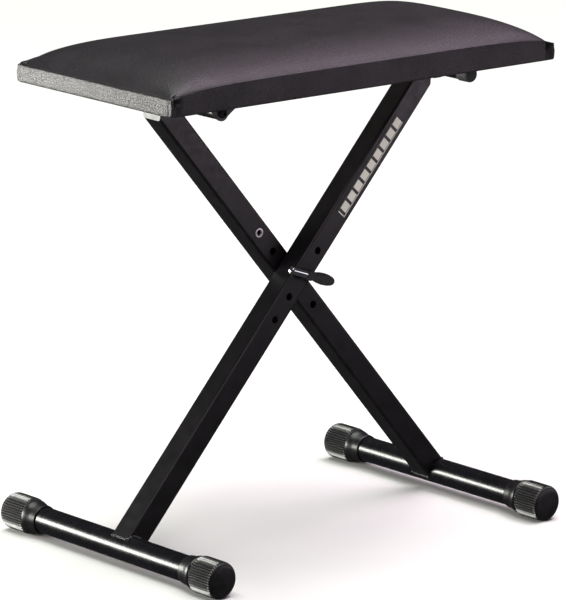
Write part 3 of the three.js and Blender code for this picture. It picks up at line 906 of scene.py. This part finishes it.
@dataclass
class Cushion:
    """The padded seat: foam on a board under one piece of vinyl, folded at its corners."""

    corner: float = 7.0
    band_at_ends: float = 20.0
    band_at_middle: float = 29.0
    cells_long: int = 104
    cells_wide: int = 48
    crowding: float = 1.28  # how much closer the cells are at the edge
    crown: float = 3.4
    fullness: float = 0.9  # fills out the corners of the crown
    crease: float = 3.2  # depth of the pulled-down line just inside the band
    crease_at: float = 5.2  # its distance in from the rim
    crease_width: float = 3.8
    waist: float = 1.2  # how far the long sides pull in between the corners
    swell: float = 2.6  # the most that the padding may push a point out
    frames: int = 18
    settling: int = 5  # passes that even out the padding under the crown
    fold_at: float = 12.5  # along the rim, from where the end face starts to turn
    pleat_depth: float = 8.0
    board_clearance: float = 3.8  # how far in a fold may go beside the board
    pleat_width: float = 4.5
    lip: float = 3.2  # how far the end flap's rolled edge stands out beside the fold
    lip_before: float = 5.6  # from the fold back to the middle of that edge
    lip_width: float = 2.4
    corner_reach: float = 34.0  # how far from a corner the mesh is made finer
    hem_inset: float = 3.0
    hem_width: float = 22.0
    hem_thickness: float = 0.26
    half_x: float = field(init=False)
    half_y: float = field(init=False)
    thick: float = field(init=False)
    under: float = field(init=False)

    def __post_init__(self) -> None:
        """Read the cushion's size from the frame."""
        low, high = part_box("seat_cushion")
        self.half_x, self.half_y = high.x / MM, high.y / MM
        self.thick = (high.z - low.z) / MM
        self.under = low.z / MM

    def build(self) -> None:
        """Make the cushion, the turned-under hem and the staples."""
        form = self.blank()
        piece = self.stuffed(form)
        self.tailor(piece)
        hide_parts("seat_cushion")
        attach(piece, Body.SEAT.value)
        LOG.info("%s: %d faces on %s", piece.name, len(piece.data.polygons), Body.SEAT.value)
        self.hem()
        self.staples()
        dress("seat_board", PLYWOOD)

    def band(self, x: float) -> float:
        """Height of the side band at x: lower at both ends."""
        rise = self.band_at_middle - self.band_at_ends
        return self.band_at_ends + rise * (1.0 - min(1.0, abs(x) / self.half_x) ** 9)

    def rounded(self, x: float, y: float) -> tuple[float, float]:
        """Move a point of a plain rectangle onto the same ring of the rounded one."""
        ax, ay = abs(x), abs(y)
        inset = min(self.half_x - ax, self.half_y - ay)
        radius = self.corner * max(0.0, 1.0 - inset / 60.0) ** 2
        from_x, from_y = self.half_x - inset - radius, self.half_y - inset - radius
        qx, qy = ax - from_x, ay - from_y
        if radius > 0.0 and qx > 0.0 and qy > 0.0:
            shrink = max(qx, qy) / math.hypot(qx, qy)
            ax, ay = from_x + qx * shrink, from_y + qy * shrink
        return math.copysign(ax, x), math.copysign(ay, y)

    def height(self, x: float, y: float) -> float:
        """Height of the crown over the underside, from the band's top at the edge."""
        from_end, from_side = self.half_x - abs(x), self.half_y - abs(y)
        at_end, at_side = (max(0.0, 1.0 - far / self.half_y) ** self.crown
                           for far in (from_end, from_side))
        rise = (1.0 - at_end) * (1.0 - at_side) * (1.0 + self.fullness * at_end * at_side)
        edge = self.band(x)
        pinched = hump(min(from_end, from_side) - self.crease_at, self.crease_width)
        near_end = smoothstep(abs(x), self.half_x - 110.0, self.half_x - 15.0)
        taut = self.crease * (0.35 + 0.65 * near_end)
        return edge + (self.thick - edge) * rise - taut * pinched

    def crowded(self, share: float) -> float:
        """Move an even share of the half size out towards the edge."""
        return math.copysign(1.0 - (1.0 - abs(share)) ** self.crowding, share)

    def blank(self) -> Form:
        """Draw the crowned top, the band and the closed underside.

        Returns:
            The form, in millimetres, with its underside at 0.
        """
        form = bmesh.new()
        bmesh.ops.create_grid(form, x_segments=self.cells_long, y_segments=self.cells_wide,
                              size=1.0)
        for vert in form.verts:
            x = self.crowded(vert.co.x) * (self.half_x - 1.0)
            y = self.crowded(vert.co.y) * (self.half_y - 1.0)
            x, y = self.rounded(x, y)
            vert.co = (x, y, self.height(x, y) - 0.6)
        edges = [e for e in form.edges if e.is_boundary]
        band_rows = [(0.97, 0.35), (0.9, 0.05), (0.7, 0.0), (0.45, 0.0), (0.2, 0.0), (0.06, 0.15),
                     (0.0, 0.9)]
        for share, inset in band_rows:
            ring, edges = extruded(form, edges)
            for vert in ring:
                self.hang(vert, share, inset)
        for inset, height in ((2.4, 0.0), (4.5, 0.0), (7.0, 1.0)):
            ring, edges = extruded(form, edges)
            for vert in ring:
                self.hang(vert, 0.0, inset)
                vert.co.z = height
        bmesh.ops.contextual_create(form, geom=edges)
        bmesh.ops.recalc_face_normals(form, faces=form.faces)
        return form

    def hang(self, vert: bmesh.types.BMVert, share: float, inset: float) -> None:
        """Put a point of the rim in its place.

        Args:
            vert: The point.
            share: Its share of the band's height.
            inset: Its distance in from the outline.
        """
        x, y = vert.co.x, vert.co.y
        reach_x = (self.half_x - inset) / max(abs(x), 1e-6)
        reach_y = (self.half_y - inset) / max(abs(y), 1e-6)
        from_x, from_y = self.half_x - self.corner, self.half_y - self.corner
        if abs(x) > from_x and abs(y) > from_y:
            qx, qy = abs(x) - from_x, abs(y) - from_y
            grow = (self.corner - inset) / math.hypot(qx, qy)
            vert.co.x = math.copysign(from_x + qx * grow, x)
            vert.co.y = math.copysign(from_y + qy * grow, y)
        elif reach_x < reach_y:
            vert.co.x = x * reach_x
        else:
            vert.co.y = y * reach_y - math.copysign(self.waist * self.between_corners(x), y) * share
        vert.co.z = self.band(vert.co.x) * share

    def between_corners(self, x: float) -> float:
        """1 in the middle of a long side and 0 at its corners."""
        return math.cos(min(1.0, abs(x) / self.half_x) * math.pi / 2)

    def stuffed(self, form: Form) -> bpy.types.Object:
        """Blow the blank up like a foam-filled cover and round it once.

        Args:
            form: The blank; it is used up.

        Returns:
            The cushion, in metres, in its place.
        """
        bmesh.ops.scale(form, vec=(MM,) * 3, verts=form.verts)
        bmesh.ops.translate(form, vec=(0, 0, self.under * MM), verts=form.verts)
        mesh = bpy.data.meshes.new("seat_cover")
        form.to_mesh(mesh)
        form.free()
        piece = bpy.data.objects.new("seat_cover", mesh)
        bpy.context.scene.collection.objects.link(piece)
        self.simulate(piece)
        self.open_underside(mesh)
        rounding = piece.modifiers.new("rounding", "SUBSURF")
        rounding.levels = rounding.render_levels = 1
        bpy.context.view_layer.update()
        rounded = piece.evaluated_get(bpy.context.evaluated_depsgraph_get())
        shaped = bpy.data.meshes.new_from_object(rounded)
        piece.modifiers.clear()
        piece.data = shaped
        bpy.data.meshes.remove(mesh)
        shaped.name = "seat_cover"
        return piece

    def open_underside(self, mesh: bpy.types.Mesh) -> None:
        """Take out the one large face under the board, which is put back after the rounding."""
        form = bmesh.new()
        form.from_mesh(mesh)
        large = [face for face in form.faces if len(face.verts) > 4]
        bmesh.ops.delete(form, geom=large, context="FACES_ONLY")
        form.to_mesh(mesh)
        form.free()

    def simulate(self, piece: bpy.types.Object) -> None:
        """Let the padding press the vinyl out, held where it is stapled.

        Args:
            piece: The unfilled cover.
        """
        held = piece.vertex_groups.new(name="stapled")
        start = [v.co.copy() for v in piece.data.vertices]
        for index, point in enumerate(start):
            height = point.z / MM - self.under
            grip = 1.0 - smoothstep(height, 3.0, 14.0)
            if grip > 0.0:
                held.add([index], grip, "REPLACE")
        cloth = piece.modifiers.new("padding", "CLOTH")
        wanted = {"quality": 6, "mass": 0.25, "tension_stiffness": 30.0,
                  "compression_stiffness": 30.0, "shear_stiffness": 8.0, "bending_stiffness": 2.0,
                  "use_pressure": True, "uniform_pressure_force": 4.0,
                  "vertex_group_mass": held.name, "air_damping": 3.0}
        for key, value in wanted.items():
            setattr(cloth.settings, key, value)
        cloth.settings.effector_weights.gravity = 0.0
        cloth.collision_settings.use_collision = False
        cloth.point_cache.frame_end = self.frames
        scene = bpy.context.scene
        for number in range(1, self.frames + 1):
            scene.frame_set(number)
        settled = piece.evaluated_get(bpy.context.evaluated_depsgraph_get()).data
        places = [v.co.copy() for v in settled.vertices]
        piece.modifiers.clear()
        scene.frame_set(1)
        self.settle(piece.data, start, places)

    def settle(self, mesh: bpy.types.Mesh, start: list[Vector], places: list[Vector]) -> None:
        """Keep the swelling that goes straight out, within its limit, and even out the crown.

        Args:
            mesh: The cover's mesh.
            start: Where its points were before the padding pressed on them.
            places: Where they came to rest.
        """
        most = self.swell * MM
        form = bmesh.new()
        form.from_mesh(mesh)
        form.normal_update()
        for vert, begin, place in zip(form.verts, start, places):
            outward = max(-most, min(most, (place - begin).dot(vert.normal)))
            vert.co = begin + vert.normal * outward
        crown = [v for v in form.verts
                 if v.co.z / MM - self.under > self.band(v.co.x / MM) + 1.0]
        for _ in range(self.settling):
            bmesh.ops.smooth_vert(form, verts=crown, factor=0.5,
                                  use_axis_x=True, use_axis_y=True, use_axis_z=True)
        form.to_mesh(mesh)
        form.free()

    def tailor(self, piece: bpy.types.Object) -> None:
        """Fold the corners and let the band ripple a little.

        Args:
            piece: The cushion.
        """
        form = bmesh.new()
        form.from_mesh(piece.data)
        near = [e for e in form.edges if all(self.by_corner(v.co / MM) for v in e.verts)]
        bmesh.ops.subdivide_edges(form, edges=near, cuts=2, use_grid_fill=True)
        bmesh.ops.contextual_create(form, geom=[e for e in form.edges if e.is_boundary])
        form.normal_update()
        moves = [(vert, self.pull(vert.co / MM, vert.normal)) for vert in form.verts]
        for vert, move in moves:
            vert.co += move * MM
        for face in form.faces:
            face.smooth = True
        form.normal_update()
        form.to_mesh(piece.data)
        form.free()
        piece.data.materials.clear()
        piece.data.materials.append(VINYL.material())

    def by_corner(self, point: Vector) -> bool:
        """Whether a point is on the band or the roll near a corner."""
        height = point.z - self.under
        apart = math.hypot(self.half_x - abs(point.x), self.half_y - abs(point.y))
        return apart < self.corner_reach and -0.5 < height < self.band_at_middle + 6.0

    def pull(self, point: Vector, normal: Vector) -> Vector:
        """How far a point moves for the ripples and the corner folds, in millimetres.

        Args:
            point: The point, in millimetres.
            normal: The surface's outward direction there.

        Returns:
            The move.
        """
        height = point.z - self.under
        band = self.band(point.x)
        on_band = smoothstep(height, 1.5, 7.0) * (1.0 - smoothstep(height, band - 3.0, band + 1.0))
        ripple = noise.noise(Vector((point.x * 0.028, point.y * 0.028, height * 0.02))) * 0.6
        ripple += noise.noise(Vector((point.x * 0.09, point.y * 0.09, 7.0))) * 0.18
        outward = Vector((normal.x, normal.y, 0.0))
        return normal * ripple * on_band + outward * self.fold(point, height, band)

    def fold(self, point: Vector, height: float, band: float) -> float:
        """How far out a point moves for the fold at its corner, in millimetres.

        The end's flap ends in a rolled lip, and the fold sinks in beside it.

        Args:
            point: The point, in millimetres.
            height: Its height over the cushion's underside.
            band: The band's height there.

        Returns:
            The distance, less than 0 inside the fold.
        """
        past_x = abs(point.x) - (self.half_x - self.corner)
        past_y = abs(point.y) - (self.half_y - self.corner)
        if past_x <= -20.0 or past_y <= -1.0 or height >= band + 8.0:
            return 0.0
        turn = math.pi / 2
        if past_x > 0:
            turn = math.atan2(max(past_y, 0.01), max(past_x, 0.01))
        from_fold = self.corner * turn + max(0.0, -past_x) - self.fold_at
        up = min(1.0, max(0.0, (height + 2.0) / (band + 5.0)))
        tall = max(0.0, math.sin(math.pi * up)) ** 0.4
        beside_board, above_board = self.board_clearance, self.pleat_depth
        depth = beside_board + (above_board - beside_board) * smoothstep(height, 11.0, 15.0)
        sunk = depth * hump(from_fold, self.pleat_width)
        raised = self.lip * hump(from_fold + self.lip_before, self.lip_width)
        return (raised - sunk) * tall

    def hem(self) -> None:
        """Make the vinyl hem that is turned under the board."""
        form = bmesh.new()
        top = self.under - 0.02
        half_x, half_y = self.half_x - self.hem_inset, self.half_y - self.hem_inset
        bmesh.ops.create_grid(form, x_segments=90, y_segments=40, size=1.0)
        bmesh.ops.scale(form, vec=(half_x, half_y, 1.0), verts=form.verts)
        inside = [face for face in form.faces
                  if self.hem_depth(face.calc_center_median()) > self.hem_width]
        bmesh.ops.delete(form, geom=inside, context="FACES")
        for vert in form.verts:
            far_in = smoothstep(self.hem_depth(vert.co), 8.0, self.hem_width)
            x, y = self.rounded(vert.co.x, vert.co.y)
            wander = noise.noise(Vector((x * 0.03, y * 0.03, 3.0))) * 3.0 * far_in
            vert.co = (x - math.copysign(wander, x), y - math.copysign(wander, y), top)
        wall = bmesh.ops.extrude_face_region(form, geom=form.faces[:])["geom"]
        lowered = [g for g in wall if isinstance(g, bmesh.types.BMVert)]
        bmesh.ops.translate(form, vec=(0, 0, -self.hem_thickness), verts=lowered)
        bmesh.ops.recalc_face_normals(form, faces=form.faces)
        finished(form, "turned_under_hem", VINYL, Body.SEAT)

    def hem_depth(self, point: Vector) -> float:
        """How far a point of the hem is in from its outer edge."""
        return min(self.half_x - abs(point.x), self.half_y - abs(point.y)) - self.hem_inset

    def staples(self) -> None:
        """Make the staples that hold the hem."""
        form = bmesh.new()
        inset, from_corner, wire, length = 16.0, 32.0, 0.6, 10.0
        spots: list[tuple[float, float, float]] = []
        for step in range(15):
            x = (step / 7 - 1.0) * (self.half_x - from_corner)
            spots += [(x, side * (self.half_y - inset), 0.0) for side in (-1.0, 1.0)]
        for step in range(7):
            y = (step / 3 - 1.0) * (self.half_y - from_corner)
            spots += [(side * (self.half_x - inset), y, math.pi / 2) for side in (-1.0, 1.0)]
        for index, (x, y, turn) in enumerate(spots):
            askew = turn + 0.12 * math.sin(1.7 * index)
            level = self.under - self.hem_thickness - 0.02 - wire / 2
            where = Matrix.Translation((x, y, level)) @ Matrix.Rotation(askew, 4, "Z")
            sized = Matrix.Diagonal((length, wire * 1.8, wire, 1.0))
            bmesh.ops.create_cube(form, size=1.0, matrix=where @ sized)
        soften(form, 0.18)
        finished(form, "hem_staples", STAPLE, Body.SEAT)


# ------------------------------------------------------------------ studio


@dataclass(frozen=True)
class Softbox:
    """A rectangular studio light that faces the bench."""

    name: str
    towards: tuple[float, float, float]  # where it stands, seen from the bench
    distance: float
    width: float
    height: float
    power: float
    tint: Colour = (1.0, 1.0, 1.0)

    def place(self, target: Vector) -> None:
        """Stand the light and aim it.

        Args:
            target: The point that it faces.
        """
        lamp = bpy.data.lights.new(self.name, "AREA")
        lamp.shape = "RECTANGLE"
        lamp.size, lamp.size_y = self.width, self.height
        lamp.energy, lamp.color = self.power, self.tint
        stand = bpy.data.objects.new(self.name, lamp)
        direction = Vector(self.towards).normalized()
        stand.location = target + direction * self.distance
        stand.rotation_euler = direction.to_track_quat("Z", "Y").to_euler()
        stand.visible_camera = False
        bpy.context.scene.collection.objects.link(stand)


@dataclass
class Studio:
    """The floor, the lights, the surroundings and the camera."""

    floor_half: float = 30.0
    floor_tint: Colour = (0.95, 0.95, 0.94)
    surround: Colour = (0.9, 0.92, 0.9)
    surround_strength: float = 0.045
    aim: tuple[float, float, float] = (0.0, 0.0, 0.3)  # what the softboxes face
    overhead_power: float = 3.1
    overhead_spread: float = math.radians(55.0)
    overhead_tint: Colour = (0.96, 1.0, 0.93)
    camera_at: tuple[float, float, float] = (-3.5836, -3.9706, 1.5426)
    yaw: float = math.radians(42.02)
    pitch: float = math.radians(13.45)
    roll: float = math.radians(1.05)
    lens: float = 310.7
    softboxes: tuple[Softbox, ...] = (
        Softbox("low_back_left", (-0.69, 0.71, -0.01), 1.85, 1.1, 0.54, 46.0, (1.0, 1.0, 0.94)),
        Softbox("high_right", (0.57, -0.03, 0.82), 2.8, 1.7, 1.7, 31.0, (1.0, 0.72, 0.95)),
        Softbox("over_camera", (-0.38, -0.64, 0.70), 3.2, 1.2, 0.8, 14.0, (1.0, 0.86, 1.0)),
        Softbox("low_front_right", (0.67, -0.74, -0.06), 1.6, 1.2, 0.30, 2.2, (1.0, 0.86, 1.0)),
    )

    def build(self) -> None:
        """Set everything up."""
        self.floor()
        self.surroundings()
        for softbox in self.softboxes:
            softbox.place(Vector(self.aim))
        self.overhead()
        self.camera()

    def overhead(self) -> None:
        """Hang one very broad light over the whole floor."""
        lamp = bpy.data.lights.new("overhead", "SUN")
        lamp.energy, lamp.angle = self.overhead_power, self.overhead_spread
        lamp.color = self.overhead_tint
        stand = bpy.data.objects.new("overhead", lamp)
        bpy.context.scene.collection.objects.link(stand)

    def floor(self) -> None:
        """Lay the plain pale floor."""
        form = bmesh.new()
        bmesh.ops.create_grid(form, x_segments=4, y_segments=4, size=self.floor_half)
        mesh = bpy.data.meshes.new("studio_floor")
        form.to_mesh(mesh)
        form.free()
        mixture = Mixture("pale_floor", Roughness=0.9, Specular_IOR_Level=0.1)
        speck = mixture.noise(3.0, detail=3.0)
        darker = tuple(c * 0.985 for c in self.floor_tint)
        mixture.colour(mixture.ramp(speck, [(0.3, darker), (0.7, self.floor_tint)]))
        mesh.materials.append(mixture.material)
        floor = bpy.data.objects.new("studio_floor", mesh)
        bpy.context.scene.collection.objects.link(floor)
        floor.visible_glossy = False

    def surroundings(self) -> None:
        """Fill the room with even soft light."""
        world = bpy.data.worlds.new("studio")
        bpy.context.scene.world = world
        world.use_nodes = True
        background = world.node_tree.nodes["Background"]
        background.inputs["Color"].default_value = (*self.surround, 1.0)
        background.inputs["Strength"].default_value = self.surround_strength

    def camera(self) -> None:
        """Stand the camera, with a long lens and level but for a slight roll."""
        lens = bpy.data.cameras.new("studio_camera")
        lens.lens, lens.sensor_width, lens.sensor_fit = self.lens, 36.0, "HORIZONTAL"
        lens.clip_start, lens.clip_end = 0.1, 200.0
        ahead = Vector((math.sin(self.yaw) * math.cos(self.pitch),
                        math.cos(self.yaw) * math.cos(self.pitch), -math.sin(self.pitch)))
        level = Vector((math.cos(self.yaw), -math.sin(self.yaw), 0.0))
        upright = level.cross(ahead)
        right = level * math.cos(self.roll) + upright * math.sin(self.roll)
        up = upright * math.cos(self.roll) - level * math.sin(self.roll)
        stand = bpy.data.objects.new("studio_camera", lens)
        turn = Matrix((right, up, -ahead)).transposed().to_4x4()
        stand.matrix_world = Matrix.Translation(self.camera_at) @ turn
        bpy.context.scene.collection.objects.link(stand)
        bpy.context.scene.camera = stand
        bpy.context.scene.view_settings.view_transform = "Standard"


class Bench:
    """The whole bench."""

    def build(self) -> None:
        """Build every sub-assembly in order."""
        Foot("rear", Body.REAR, lean=-1.0, leg_side=1.0).build()
        Foot("front", Body.FRONT, lean=1.0, leg_side=-1.0).build()
        Leg("rear", Body.REAR).build()
        Leg("front", Body.FRONT).build()
        TopCaps().build()
        SmallSteel().build()
        Brackets().build()
        LockPin().build()
        Cushion().build()
        pin_height = middle("lock_pin").z * MM
        dress("front_leg_label", BarredLabel("barred_label", LEG_ANGLE, pin_height,
                                             ground=(0.014, 0.013, 0.014), ink=(0.62, 0.60, 0.54)))


def main() -> None:
    """Build the bench in its studio."""
    logging.basicConfig(level=logging.INFO, format="%(message)s")
    Studio().build()
    Bench().build()


if __name__ == "__main__":
    main()
